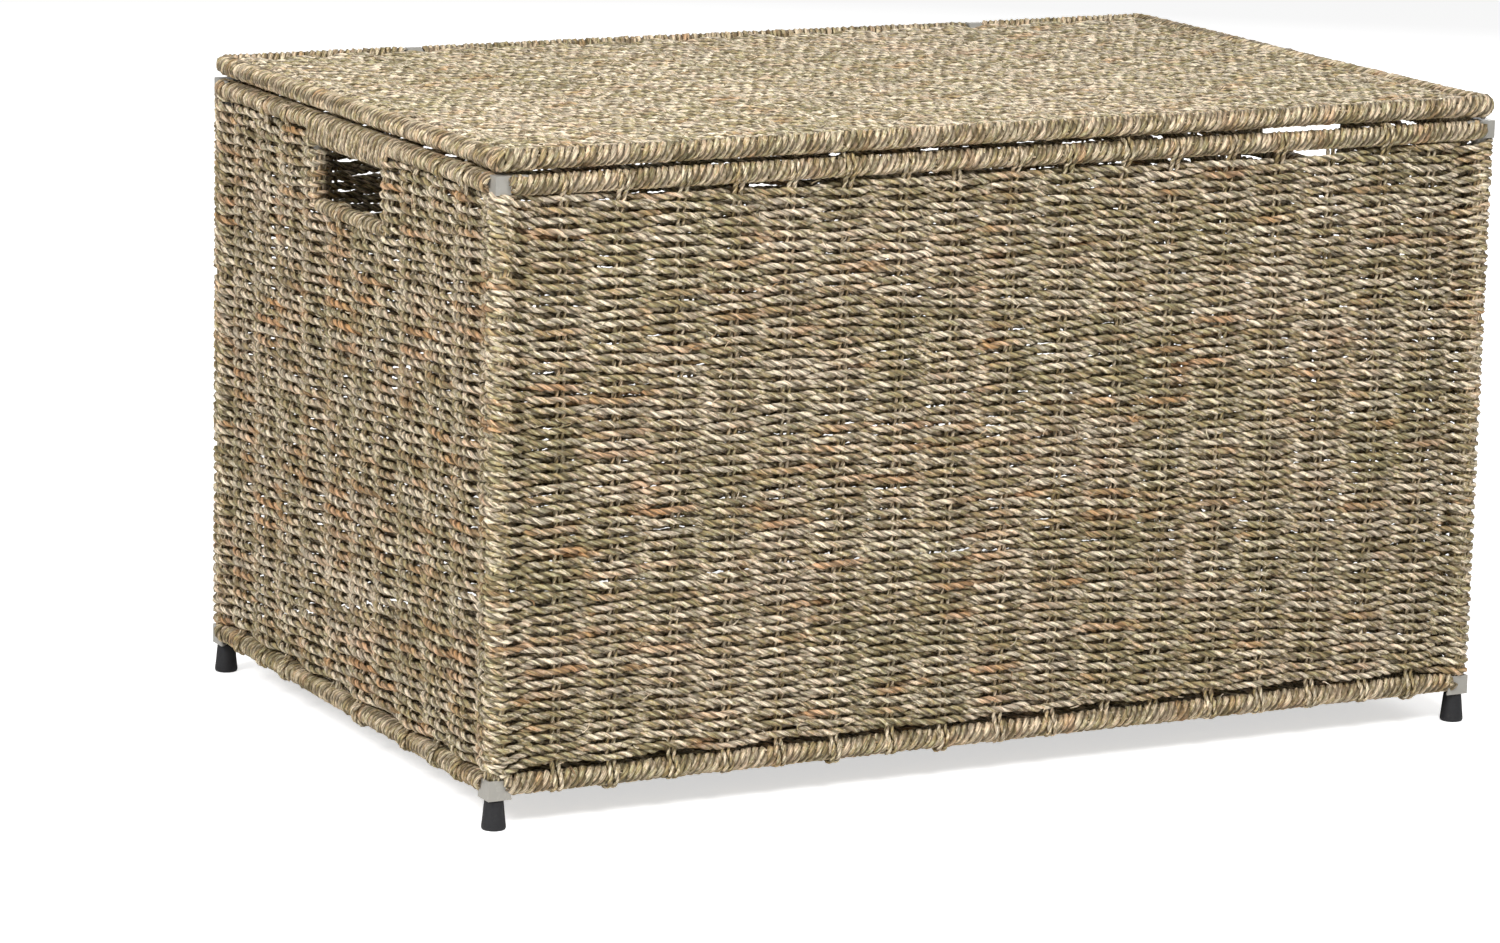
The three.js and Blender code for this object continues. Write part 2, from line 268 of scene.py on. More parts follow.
def group_of(name, inputs, outputs):
    """An empty shader group with named sockets, and its two end nodes."""
    tree = bpy.data.node_groups.new(name, "ShaderNodeTree")
    for label, kind, value in inputs:
        tree.interface.new_socket(label, in_out="INPUT", socket_type=kind).default_value = value
    for label, kind in outputs:
        tree.interface.new_socket(label, in_out="OUTPUT", socket_type=kind)
    return tree, tree.nodes.new("NodeGroupInput"), tree.nodes.new("NodeGroupOutput")


def node(tree, kind, inputs=None, **settings):
    made = tree.nodes.new(kind)
    for key, value in settings.items():
        setattr(made, key, value)
    for key, value in (inputs or {}).items():
        if isinstance(value, bpy.types.NodeSocket):
            tree.links.new(value, made.inputs[key])
        else:
            made.inputs[key].default_value = value
    return made


def maths(tree, operation, a, b=0.0, c=0.0):
    return node(tree, "ShaderNodeMath", {0: a, 1: b, 2: c}, operation=operation).outputs[0]


def ramp(tree, value, low, high, to_low=0.0, to_high=1.0):
    """Maps low..high to to_low..to_high, softly and without going past either."""
    made = node(
        tree, "ShaderNodeMapRange",
        {"Value": value, "From Min": low, "From Max": high, "To Min": to_low, "To Max": to_high},
        interpolation_type="SMOOTHSTEP",
    )
    return made.outputs["Result"]


def blended(tree, factor, a, b, how="MIX"):
    made = node(tree, "ShaderNodeMix", {0: factor, 6: a, 7: b}, data_type="RGBA", blend_type=how)
    return made.outputs[2]


def noise(tree, vector, scale, detail=2.0, roughness=0.5):
    settings = {"Vector": vector, "Scale": scale, "Detail": detail, "Roughness": roughness}
    return node(tree, "ShaderNodeTexNoise", settings).outputs["Fac"]


def stretched(tree, vector, by):
    return node(tree, "ShaderNodeVectorMath", {0: vector, 1: by}, operation="MULTIPLY").outputs[0]


def weighed(tree, value, weight, shift=0.0):
    return maths(tree, "MULTIPLY_ADD", value, weight, shift)


def added(tree, a, b):
    return maths(tree, "ADD", a, b)


def fibre_streaks():
    """Dry grass fibres running along each ply."""
    tree, given, out = group_of(
        "fibre_streaks",
        [("Fineness", "NodeSocketFloat", 1.0)],
        [("Streaks", "NodeSocketFloat"), ("Height", "NodeSocketFloat")],
    )
    place = node(tree, "ShaderNodeAttribute", attribute_name="fibre").outputs["Vector"]
    fine = stretched(tree, place, (90, 2600, 2600))
    coarse = stretched(tree, place, (45, 800, 800))
    hair = noise(tree, fine, given.outputs["Fineness"], 2.0, 0.6)
    blade = noise(tree, coarse, given.outputs["Fineness"], 1.0)
    mixed = added(tree, weighed(tree, hair, 0.45), weighed(tree, blade, 0.55))
    tree.links.new(ramp(tree, mixed, 0.34, 0.66), out.inputs["Streaks"])
    tree.links.new(mixed, out.inputs["Height"])
    return tree


def dried_colour():
    """Dry seagrass drifting between green, straw, pink and brown, with painted shade in the grooves of the
    twist.
    """
    tree, given, out = group_of(
        "dried_colour",
        [
            ("Straw", "NodeSocketColor", (0.62, 0.52, 0.31, 1)),
            ("Green", "NodeSocketColor", (0.33, 0.31, 0.18, 1)),
            ("Brown", "NodeSocketColor", (0.42, 0.22, 0.10, 1)),
            ("Shadow", "NodeSocketColor", (0.04, 0.026, 0.011, 1)),
            ("Blush", "NodeSocketColor", (0.54, 0.36, 0.24, 1)),
            ("Moss", "NodeSocketColor", (0.50, 0.49, 0.30, 1)),
            ("Brown Amount", "NodeSocketFloat", 0.6),
            ("Groove Depth", "NodeSocketFloat", 0.6),
            ("Streaks", "NodeSocketFloat", 0.5),
        ],
        [("Color", "NodeSocketColor")],
    )
    tone = node(tree, "ShaderNodeAttribute", attribute_name="cord_tone_and_painted_shade").outputs["Vector"]
    parts = node(tree, "ShaderNodeSeparateXYZ", {0: tone}).outputs
    where = node(tree, "ShaderNodeTexCoord").outputs["Object"]
    place = node(tree, "ShaderNodeAttribute", attribute_name="fibre").outputs["Vector"]
    blade_place = stretched(tree, place, (120, 420, 420))
    blade = noise(tree, blade_place, 1.0, 2.0, 0.6)
    cloud = noise(tree, where, 16.0, 2.0)
    grain = noise(tree, where, 520.0, 2.0, 0.6)
    pale = added(tree, parts["X"], weighed(tree, cloud, 0.6, -0.3))
    pale = added(tree, pale, weighed(tree, blade, 1.5, -0.75))
    pale = added(tree, pale, weighed(tree, grain, 1.8, -0.9))
    base = blended(tree, ramp(tree, pale, 0.1, 0.95), given.outputs["Green"], given.outputs["Straw"])
    fleck = noise(tree, blade_place, 1.9, 1.0)
    blush = added(tree, weighed(tree, fleck, 0.85), weighed(tree, cloud, 0.2))
    base = blended(tree, ramp(tree, blush, 0.53, 0.72, 0.0, 0.6), base, given.outputs["Blush"])
    base = blended(tree, ramp(tree, blush, 0.36, 0.52, 0.5, 0.0), base, given.outputs["Moss"])
    patch = noise(tree, where, 30.0, 3.0, 0.6)
    warm = added(tree, weighed(tree, parts["Y"], 0.36), weighed(tree, patch, 0.6))
    warm = added(tree, warm, weighed(tree, blade, 0.32))
    warm = maths(tree, "MULTIPLY", ramp(tree, warm, 0.68, 0.95), given.outputs["Brown Amount"])
    base = blended(tree, warm, base, given.outputs["Brown"])
    streak = ramp(tree, given.outputs["Streaks"], 0.0, 1.0, 0.42, 1.3)
    grey = node(tree, "ShaderNodeCombineXYZ", {0: streak, 1: streak, 2: streak}).outputs[0]
    base = blended(tree, 1.0, base, grey, "MULTIPLY")
    # Painted shade: in the grooves between the plies the colour is pulled towards the Shadow colour.
    painted_groove_shade = maths(tree, "MULTIPLY", parts["Z"], given.outputs["Groove Depth"])
    tree.links.new(blended(tree, painted_groove_shade, base, given.outputs["Shadow"]), out.inputs["Color"])
    return tree


def handled_wear():
    """Small scuffs and grime, for the coated steel and the rubber."""
    tree, given, out = group_of(
        "handled_wear",
        [("Scale", "NodeSocketFloat", 120.0), ("Amount", "NodeSocketFloat", 0.5)],
        [("Mask", "NodeSocketFloat"), ("Height", "NodeSocketFloat")],
    )
    where = node(tree, "ShaderNodeTexCoord").outputs["Object"]
    spread = noise(tree, where, given.outputs["Scale"], 4.0, 0.65)
    edge = node(tree, "ShaderNodeNewGeometry").outputs["Pointiness"]
    mask = maths(tree, "ADD", ramp(tree, spread, 0.56, 0.7), ramp(tree, edge, 0.53, 0.6))
    tree.links.new(maths(tree, "MULTIPLY", mask, given.outputs["Amount"]), out.inputs["Mask"])
    tree.links.new(spread, out.inputs["Height"])
    return tree


STREAKS = fibre_streaks()
DRIED = dried_colour()
WEAR = handled_wear()


def new_material(name):
    material = bpy.data.materials.new(name)
    material.use_nodes = True
    return material, material.node_tree, material.node_tree.nodes["Principled BSDF"]


def use(tree, group, **inputs):
    made = node(tree, "ShaderNodeGroup", node_tree=group)
    for label, value in inputs.items():
        socket = made.inputs[label.replace("_", " ")]
        if isinstance(value, bpy.types.NodeSocket):
            tree.links.new(value, socket)
        else:
            socket.default_value = value
    return made.outputs


def bumped(tree, height, strength, distance):
    inputs = {"Height": height, "Strength": strength, "Distance": distance}
    return node(tree, "ShaderNodeBump", inputs).outputs[0]


def seagrass(name, straw, green, brown, brown_amount, groove_shade):
    material, tree, shader = new_material(name)
    fibres = use(tree, STREAKS, Fineness=1.0)
    colour = use(
        tree, DRIED, Straw=straw, Green=green, Brown=brown, Brown_Amount=brown_amount,
        Groove_Depth=groove_shade, Streaks=fibres["Streaks"],
    )
    raised = bumped(tree, fibres["Height"], 0.8, 0.4 * MM)
    tree.links.new(colour["Color"], shader.inputs["Base Color"])
    shader.inputs["Roughness"].default_value = 0.62
    tree.links.new(raised, shader.inputs["Normal"])
    shader.inputs["Specular IOR Level"].default_value = 0.25
    return material


def coated_steel(name, paint, bare):
    material, tree, shader = new_material(name)
    wear = use(tree, WEAR, Scale=160.0, Amount=0.35)
    tree.links.new(blended(tree, wear["Mask"], paint, bare), shader.inputs["Base Color"])
    tree.links.new(ramp(tree, wear["Height"], 0.3, 0.7, 0.36, 0.52), shader.inputs["Roughness"])
    raised = bumped(tree, wear["Height"], 0.15, 0.15 * MM)
    tree.links.new(raised, shader.inputs["Normal"])
    shader.inputs["Metallic"].default_value = 0.25
    return material


def moulded_rubber(name, black, dusty):
    material, tree, shader = new_material(name)
    wear = use(tree, WEAR, Scale=220.0, Amount=0.5)
    tree.links.new(blended(tree, wear["Mask"], black, dusty), shader.inputs["Base Color"])
    tree.links.new(ramp(tree, wear["Height"], 0.3, 0.7, 0.5, 0.72), shader.inputs["Roughness"])
    raised = bumped(tree, wear["Height"], 0.12, 0.1 * MM)
    tree.links.new(raised, shader.inputs["Normal"])
    return material


# The last value of each seagrass sets how much painted shade goes in the grooves of the twist.
weft_grass = seagrass(
    "weft_seagrass",
    straw=(0.86, 0.74, 0.57, 1),
    green=(0.33, 0.26, 0.12, 1),
    brown=(0.58, 0.29, 0.12, 1),
    brown_amount=0.75,
    groove_shade=0.85,
)
stake_grass = seagrass(
    "stake_seagrass",
    straw=(0.86, 0.73, 0.54, 1),
    green=(0.36, 0.27, 0.12, 1),
    brown=(0.50, 0.29, 0.14, 1),
    brown_amount=0.4,
    groove_shade=0.7,
)
winding_grass = seagrass(
    "winding_seagrass",
    straw=(0.72, 0.59, 0.42, 1),
    green=(0.29, 0.22, 0.10, 1),
    brown=(0.52, 0.27, 0.12, 1),
    brown_amount=0.6,
    groove_shade=0.9,
)
# Painted light: the lid's seagrass is paler than the walls' weft, standing in for the stronger light that
# falls on the top.
lid_grass_painted_lighter = seagrass(
    "lid_seagrass_painted_lighter",
    straw=(0.92, 0.79, 0.61, 1),
    green=(0.36, 0.29, 0.14, 1),
    brown=(0.58, 0.31, 0.14, 1),
    brown_amount=0.55,
    groove_shade=0.92,
)
grey_steel = coated_steel("grey_coated_steel", (0.31, 0.295, 0.26, 1), (0.46, 0.445, 0.41, 1))
black_rubber = moulded_rubber("black_rubber", (0.009, 0.009, 0.011, 1), (0.03, 0.029, 0.028, 1))

# ---------------------------------------------------------------- woven panels

# How far the topmost turns round a post are pushed up, onto its gusset
TOP_FLARE = 4.4 * MM

# A stake's two cords stand a little to each side of its place and forward of the middle of the weave.
# Between its ends it wavers at points STAKE_SPACING apart.
STAKE_PAIR = (-1.9 * MM, 2.0 * MM)
STAKE_OUT = 0.7 * MM
STAKE_CLEAR = 6 * MM
STAKE_SPACING = 9 * MM
STAKE_STEP = 1.6 * MM

# Cords up a post or jamb waver at points CLAD_SPACING apart
CLAD_SPACING = 12 * MM
CLAD_STEP = 3 * MM

# How far a stake's tie stands off the winding that it goes over
BASE_TIE_OUT = 0.9 * MM
RIM_TIE_OUT = 0.8 * MM


class Panel:
    """A flat panel of plain weave. Its rows run along `along`, are stacked along `stack` and face `out`.

    At each stake, middle_at is where the middle of the weave lies, and swing how far the rows pass from it.
    """

    def __init__(self, origin, axes, stakes, middle_at, swing, low, high, pitch, first=0, sag=0.0):
        self.origin = np.array(origin, float)
        self.along, self.stack, self.out = (np.array(v, float) for v in axes)
        self.stakes, self.middle_at, self.swing = (
            np.array(v, float) for v in (stakes, middle_at, swing))
        self.numbers = np.arange(len(stakes)) + first
        self.low, self.high, self.sag = low, high, sag
        self.span = (stakes[0], stakes[-1])
        self.rows = max(2, round((high - low) / pitch))
        self.first = first

    def between(self, begin, end):
        """The same rows, but only from one stake to another."""
        part = copy.copy(self)
        kept = slice(begin, end + 1)
        part.stakes = self.stakes[kept]
        part.numbers = self.numbers[kept]
        part.middle_at = self.middle_at[kept]
        part.swing = self.swing[kept].copy()
        return part

    def point(self, a, c, f):
        a, c, f = (np.asarray(x, float)[..., None] for x in (a, c, f))
        return self.origin + a * self.along + c * self.stack + f * self.out

    def edges(self, a):
        """The uneven lower and upper edges of the weave, which leave the rims between the posts."""
        share = (a - self.span[0]) / (self.span[1] - self.span[0])
        hang = 1 - np.abs(2 * share - 1) ** 5 + 0.5 * np.exp(-(((share - 0.8) / 0.09) ** 2))
        flare = np.abs(2 * share - 1) ** 36
        ripple_low = 0.25 * np.sin(a / 0.061 + 0.4) + 0.16 * np.sin(a / 0.023)
        ripple_high = 0.25 * np.sin(a / 0.047 + 2.0) + 0.16 * np.sin(a / 0.019)
        low = self.low + self.sag * (hang + ripple_low - 1.1 * flare)
        return low, self.high - self.sag * (hang - ripple_high) + TOP_FLARE * flare

    def row(self, i, a, rng):
        """Heights and depths of row i at places a: over one stake and under the next."""
        which = np.interp(a, self.stakes, self.numbers)
        swing = np.interp(a, self.stakes, self.swing)
        side = np.cos(math.pi * (which + i))
        depth = np.interp(a, self.stakes, self.middle_at) + swing * side
        low, high = self.edges(a)
        height = low + (high - low) * (i + 0.5) / self.rows
        sway = 0.85 * MM * wander(rng, a, 85 * MM) + 0.5 * MM * wander(rng, a, 24 * MM)
        return height + sway, depth + 0.35 * MM * wander(rng, a, 40 * MM)


def lay_weft(cords, panel, rows, step, radius=WEFT_R, warmth=0.0):
    """One long cord woven to and fro through rows of a panel, turned round the stake at each end."""
    left, right = panel.stakes[0], panel.stakes[-1]
    samples = max(8, int((right - left) / step)) + 1
    a = np.linspace(left, right, samples)
    courses = {i: panel.row(i, a, cords.rng) for i in rows}
    path = []
    for i in rows:
        height, depth = courses[i]
        onward = 1 if (i + panel.first) % 2 == 0 else -1
        path.append(panel.point(a, height, depth)[::onward])
        if i + 1 not in courses:
            continue
        end = -1 if onward > 0 else 0
        swing, centre = panel.swing[end], panel.middle_at[end]
        side = np.sign(depth[end] - centre)
        turn = np.linspace(0, math.pi, max(5, int(math.pi * swing / step)))[1:-1]
        next_height = courses[i + 1][0][end]
        rise = height[end] + (next_height - height[end]) * turn / math.pi
        out = onward * swing * np.sin(turn)
        path.append(panel.point(panel.stakes[end] + out, rise, centre + side * swing * np.cos(turn)))
    cords.lay(np.vstack(path), panel.stack, radius, width=1.04, thickness=0.98, warmth=warmth)


def lay_stake(cords, panel, a, low_end, high_end):
    """A pair of thin cords down a panel at place a. Each end is a list of (height, depth) points."""
    for offset in STAKE_PAIR:
        rng = cords.rng
        low, high = low_end[-1][0], high_end[0][0]
        heights = np.arange(low + STAKE_CLEAR, high - STAKE_CLEAR, STAKE_SPACING)
        middle_course = [(h, STAKE_OUT + rng.uniform(-0.3, 0.3) * MM) for h in heights]
        course = [*low_end, *middle_course, *high_end]
        places = a + offset + np.array([rng.uniform(-0.35, 0.35) * MM for _ in course])
        points = panel.point(places, [h for h, d in course], [d for h, d in course])
        cords.lay(smooth_path(points, STAKE_STEP), panel.along, STAKE_R, turn=STAKE_TWIST)


def clad_upright(cords, x, y, radius, low, high, count):
    """Thin cords up a post or jamb all round it, so that no steel shows between turns of the weft."""
    for angle in np.linspace(0, 2 * math.pi, count, endpoint=False):
        heights = np.arange(low, high, CLAD_SPACING)
        reach = radius + cords.rng.uniform(-0.15, 0.3, len(heights)) * MM
        angles = angle + 0.12 * wander(cords.rng, heights, 90 * MM)
        points = np.stack([x + reach * np.cos(angles), y + reach * np.sin(angles), heights], 1)
        outward = (math.cos(angle), math.sin(angle), 0)
        course = smooth_path(points, CLAD_STEP)
        cords.lay(course, outward, CLAD_R, turn=LINING_TWIST, warmth=0.05)


def over_rim(height, depth, radius, upwards):
    """The end of a stake taken up the outside of a wound rim, over it and down its back."""
    angles = np.radians([-62, -30, 0, 30, 60, 90, 120, 150, 180, 212])
    course = [(height + upwards * radius * math.sin(t), depth + radius * math.cos(t)) for t in angles]
    return course if upwards > 0 else course[::-1]


def loose_ends(name, panel, count, body, material, seed, handle=False):
    """Short fibre ends that stand a little proud of the outer side of a panel."""
    cords = Cords(name, seed)
    rng = cords.rng
    for _ in range(count):
        a = rng.uniform(*panel.span)
        c = rng.uniform(panel.low, panel.high)
        if handle and abs(a) < jamb_y + 12 * MM and c > sill.z - 16 * MM:
            continue
        length = rng.uniform(3, 10) * MM
        heading = rng.normal(0, 0.45) + rng.choice([0, math.pi]) + np.linspace(0, rng.normal(0, 0.9), 7)
        along = a + np.cumsum(np.cos(heading)) * length / 7
        stacked = c + np.cumsum(np.sin(heading)) * length / 7
        lift = SWING + 0.6 * WEFT_R + rng.uniform(0.3, 2.6) * MM * np.linspace(0, 1, 7) ** 1.6
        radius = rng.uniform(0.28, 0.62) * MM * np.linspace(1, 0.4, 7)
        cords.lay(panel.point(along, stacked, lift), panel.out, radius, turn=FIBRE_TWIST)
    cords.make(material, body, "seagrass_weave")


def split(count, shares):
    """Consecutive, almost equal runs of the numbers from 0 to count - 1."""
    edges = [round(count * i / shares) for i in range(shares + 1)]
    return [range(a, b) for a, b in zip(edges, edges[1:], strict=False)]


# The walls: row to row, sampling along a row, how far a row passes from the middle of the weave, stakes,
# how far the weave leaves the rims, and how much thinner the base winding is than its room
ROW_PITCH = 3.25 * MM
WEFT_STEP = 2.3 * MM
SWING = 3.0 * MM
FRONT_STAKES = 17
END_STAKES = 10
WALL_SAG = 2.4 * MM
END_WALL_SAG = 1.1 * MM
BASE_SLIM = 0.9 * MM

# The lid's top and the floor
FLAT_SWING = 2.5 * MM
FLAT_EDGE = 1.2 * MM
LACING_ROOM = 4.5 * MM


def wall_panel(name, s, end_wall, stakes):
    """A wall's panel, from post to post.

    The turns of two walls round one post lie alternately, so the left and back walls begin the other way.
    """
    across = rim_x if end_wall else rim_y
    mids = [0.0] * len(stakes)
    swings = [SWING] * len(stakes)
    for end in (0, -1):
        mids[end] = (post.x if end_wall else post.y) - across
        swings[end] = post_r + 0.78 * WEFT_R
    along = (0, 1, 0) if end_wall else (1, 0, 0)
    out = (s, 0, 0) if end_wall else (0, s, 0)
    origin = (s * across, 0, 0) if end_wall else (0, s * across, 0)
    first = 1 if name in ("left", "back") else 0
    sag = END_WALL_SAG if end_wall else WALL_SAG
    axes = along, (0, 0, 1), out
    return Panel(
        origin, axes, stakes, mids, swings, wall_low.z, wall_high.z, ROW_PITCH, first, sag)


def stake_places(half, count):
    """Stakes evenly between two posts, with a little unevenness, the posts themselves at the ends."""
    places = np.linspace(-half, half, count + 2)
    rng = np.random.default_rng(SEED + count)
    places[1:-1] += rng.uniform(-1, 1, count) * 2.2 * MM
    return places


def tuck_in(centre, across, radius, upwards):
    """The end of a stake laid over part of a wound rim's outside and then pushed between its turns."""
    course = over_rim(centre, across, radius, upwards)
    outer = course[:4] if upwards > 0 else course[-4:]
    inside = (centre + upwards * 0.75 * radius, across + 0.3 * radius)
    return [*outer, inside] if upwards > 0 else [inside, *outer]


def stake_ends(rng):
    """How a wall's stake begins and ends: tucked into a rim, tied over it, or taken up behind it."""
    base_across = base_y - rim_y
    base_r = base_wrap_r - BASE_SLIM + BASE_TIE_OUT
    rim_r = rim_wrap_r + RIM_TIE_OUT
    lows = [
        tuck_in(base_z, base_across, base_r, -1),
        over_rim(base_z, base_across, base_r, -1),
        [(base_z, 0.0), (base_z + base_wrap_r, 0.0)],
    ]
    highs = [
        tuck_in(rim_z, 0.0, rim_r, 1),
        over_rim(rim_z, 0.0, rim_r, 1),
        [(rim_z - rim_wrap_r, 0.0), (rim_z, 0.0)],
    ]
    return lows[rng.choice(3, p=(0.65, 0.25, 0.1))], highs[rng.choice(3, p=(0.6, 0.25, 0.15))]


def long_wall(name, s, seed):
    stakes = stake_places(post.x, FRONT_STAKES)
    panel = wall_panel(name, s, False, stakes)
    for part, rows in zip(("lower", "middle", "upper"), split(panel.rows, 3), strict=True):
        cords = Cords(f"{name}_weft_{part}", seed)
        lay_weft(cords, panel, rows, WEFT_STEP)
        cords.make(weft_grass, "trunk", "seagrass_weave", f"woven_wall_{name}")
        seed += 1
    cords = Cords(f"{name}_stakes", seed)
    for a in stakes[1:-1]:
        lay_stake(cords, panel, a, *stake_ends(cords.rng))
    cords.make(stake_grass, "trunk", "seagrass_weave", f"woven_wall_{name}")
    loose_ends(f"{name}_loose_fibres", panel, 520, "trunk", weft_grass, seed + 1)


def end_wall(name, s, seed):
    """An end wall: full rows up to the handle's sill, then shorter rows on each side of the opening."""
    stakes = stake_places(post.y, END_STAKES)
    jambs = [int(np.argmin(np.abs(stakes - y))) for y in (-jamb_y, jamb_y)]
    stakes[jambs] = -jamb_y, jamb_y
    wall = wall_panel(name, s, True, stakes)
    sill_low = sill.z - sill_wrap_r
    full_rows = round((sill_low - wall.low) / (wall.high - wall.low) * wall.rows)
    for part, rows in zip(("lower", "middle"), split(full_rows, 2), strict=True):
        cords = Cords(f"{name}_weft_{part}", seed)
        lay_weft(cords, wall, rows, WEFT_STEP, warmth=0.14)
        cords.make(weft_grass, "trunk", "seagrass_weave", f"woven_wall_{name}")
        seed += 1
    cords = Cords(f"{name}_weft_beside_handle", seed)
    front = wall.between(0, jambs[0])
    back = wall.between(jambs[1], len(stakes) - 1)
    front.swing[-1] = back.swing[0] = rod_r + 0.9 * WEFT_R
    for panel in (front, back):
        lay_weft(cords, panel, range(full_rows, wall.rows), WEFT_STEP, warmth=0.1)
    cords.make(weft_grass, "trunk", "seagrass_weave", f"woven_wall_{name}")
    cords = Cords(f"{name}_stakes", seed + 1)
    for i in range(1, len(stakes) - 1):
        low, high = stake_ends(cords.rng)
        if jambs[0] < i < jambs[1]:
            high = over_rim(sill.z, 0.0, sill_wrap_r + 0.5 * MM, 1)
        if i not in jambs:
            lay_stake(cords, wall, stakes[i], low, high)
    jamb_top = grip_low.z + rim_wrap_r
    for y in (-jamb_y, jamb_y):
        clad_upright(cords, s * rim_x, y, rod_r + 0.6 * MM, sill.z - 2 * MM, jamb_top, 7)
    cords.make(stake_grass, "trunk", "seagrass_weave", f"woven_wall_{name}")
    loose_ends(f"{name}_loose_fibres", wall, 300, "trunk", weft_grass, seed + 2, handle=True)


def flat_weave(name, node_name, body, material, pitch, step, radius, seed, parts):
    """The lid's top or the floor: rows along the width, laced at their ends just inside the wound rim."""
    low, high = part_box(node_name)
    reach = high.x - LACING_ROOM
    stakes = stake_places(reach, FRONT_STAKES)
    centre = (low + high) / 2
    mids = [0.0] * len(stakes)
    swings = [FLAT_SWING] * len(stakes)
    axes = (1, 0, 0), (0, 1, 0), (0, 0, 1)
    near, far = low.y + FLAT_EDGE, high.y - FLAT_EDGE
    panel = Panel(centre, axes, stakes, mids, swings, near, far, pitch)
    if body == "lid":
        loose_ends(f"{name}_loose_fibres", panel, 520, body, material, seed + 9)
    for part, rows in enumerate(split(panel.rows, parts)):
        cords = Cords(f"{name}_weft_{part + 1}", seed)
        lay_weft(cords, panel, rows, step, radius)
        cords.make(material, body, "seagrass_weave", node_name)
        seed += 1
    cords = Cords(f"{name}_stakes", seed)
    low_end = [(panel.low - 3 * MM, 0.0), (panel.low + 2 * MM, 0.0)]
    high_end = [(panel.high - 2 * MM, 0.0), (panel.high + 3 * MM, 0.0)]
    for a in stakes[1:-1]:
        lay_stake(cords, panel, a, low_end, high_end)
    cords.make(stake_grass, body, "seagrass_weave", node_name)


def clad_posts(seed):
    for name in ("front_left", "front_right", "back_right", "back_left"):
        at = middle(f"corner_post_{name}")
        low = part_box(f"base_gusset_{name}")[1].z - 1 * MM
        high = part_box(f"top_gusset_{name}")[0].z + 1 * MM
        cords = Cords(f"post_cladding_{name}", seed)
        clad_upright(cords, at.x, at.y, post_r + 0.2 * MM, low, high, 12)
        cords.make(stake_grass, "trunk", "seagrass_weave")
        seed += 1


# ---------------------------------------------------------------- wound rims

# How finely a wound cord is sampled, and the straight cords that line a rod: their share of the room under
# the winding, how finely they are sampled, and their number
TURN_STEP = 2.0 * MM
LINING_SHARE = 0.33
LINING_STEP = 5 * MM
LINING_CORDS = 11


def round_section(radius):
    def section(phi):
        return radius * np.cos(phi), radius * np.sin(phi), np.cos(phi), np.sin(phi)
    return section, 2 * math.pi * radius


def oblong_section(radius, drop):
    """A section round two bars, the second one `drop` below the first."""
    girth = 2 * math.pi * radius + 2 * drop

    def section(phi):
        s = (phi / (2 * math.pi) % 1) * girth
        top, side = math.pi * radius, drop
        over = s < top
        down = (s >= top) & (s < top + side)
        under = (s >= top + side) & (s < 2 * top + side)
        parts = [over, under, down]
        angle = np.select(parts, [s / radius, (s - side) / radius, math.pi], 0.0)
        height = np.select(parts, [0.0, -drop, -(s - top)], s - girth)
        return radius * np.cos(angle), height + radius * np.sin(angle), np.cos(angle), np.sin(angle)
    return section, girth


def lay_winding(cords, centres, outwards, section, pitch, width, thickness, swelling=None, warmth=0.0):
    """A cord wound in close turns along a rod. centres, outwards and any swelling follow the rod."""
    shape, girth = section
    outer = centres + outwards * girth / math.pi
    s = (lengths_along(centres) + lengths_along(outer)) / 2
    turns = s[-1] / pitch
    t = np.linspace(0, turns, int(turns * girth / TURN_STEP) + 1)
    rng = cords.rng
    crowding = 0.3 * pitch * wander(rng, t, 5.3) * np.sin(math.pi * t / turns)
    along = np.clip(t * pitch + crowding, 0, s[-1])
    centre = np.stack([np.interp(along, s, centres[:, i]) for i in range(3)], 1)
    outward = unit(np.stack([np.interp(along, s, outwards[:, i]) for i in range(3)], 1))
    x, z, nx, nz = shape(2 * math.pi * t)
    loosen = 1 + 0.045 * wander(rng, t, 2.3)
    if swelling is not None:
        loosen = loosen * np.interp(along, s, swelling)
    loosen = loosen[:, None]
    up = np.array([0, 0, 1.0])
    path = centre + (x[:, None] * outward + z[:, None] * up) * loosen
    facing = nx[:, None] * outward + nz[:, None] * up
    cords.lay(path, facing, width, turn=WINDING_TWIST, thickness=thickness / width, warmth=warmth)


def straight_rod(start, end, outward):
    centres = np.linspace(start, end, 40)
    return centres, np.broadcast_to(np.array(outward, float), centres.shape)


def cord_sizes(wrap_r, pitch):
    """The centre radius of a winding and its cord's half width and half thickness."""
    thick = (wrap_r - rod_r) / 2
    return rod_r + thick, pitch * 0.64, thick * 1.04


def line_rod(cords, centres, outwards, wrap_r):
    """Straight cords laid along a rod under its winding, so that no steel shows between the turns."""
    s = lengths_along(centres)
    even = np.linspace(0, s[-1], max(3, int(s[-1] / LINING_STEP)))
    centre = np.stack([np.interp(even, s, centres[:, i]) for i in range(3)], 1)
    outward = unit(np.stack([np.interp(even, s, outwards[:, i]) for i in range(3)], 1))
    lining_r = LINING_SHARE * (wrap_r - rod_r)
    reach = rod_r + 0.7 * lining_r
    for angle in np.linspace(0, 2 * math.pi, LINING_CORDS, endpoint=False):
        facing = math.cos(angle) * outward + math.sin(angle) * np.array([0, 0, 1.0])
        cords.lay(centre + reach * facing, facing, lining_r, turn=LINING_TWIST)


def rim_winding(name, node_names, body, course, wrap_r, pitch, seed, swelling=None):
    radius, width, thickness = cord_sizes(wrap_r, pitch)
    cords = Cords(name, seed)
    section = round_section(radius)
    lay_winding(cords, *course, section, pitch, width, thickness, swelling)
    line_rod(cords, *course, wrap_r)
    cords.make(winding_grass, body, "seagrass_winding", *node_names)


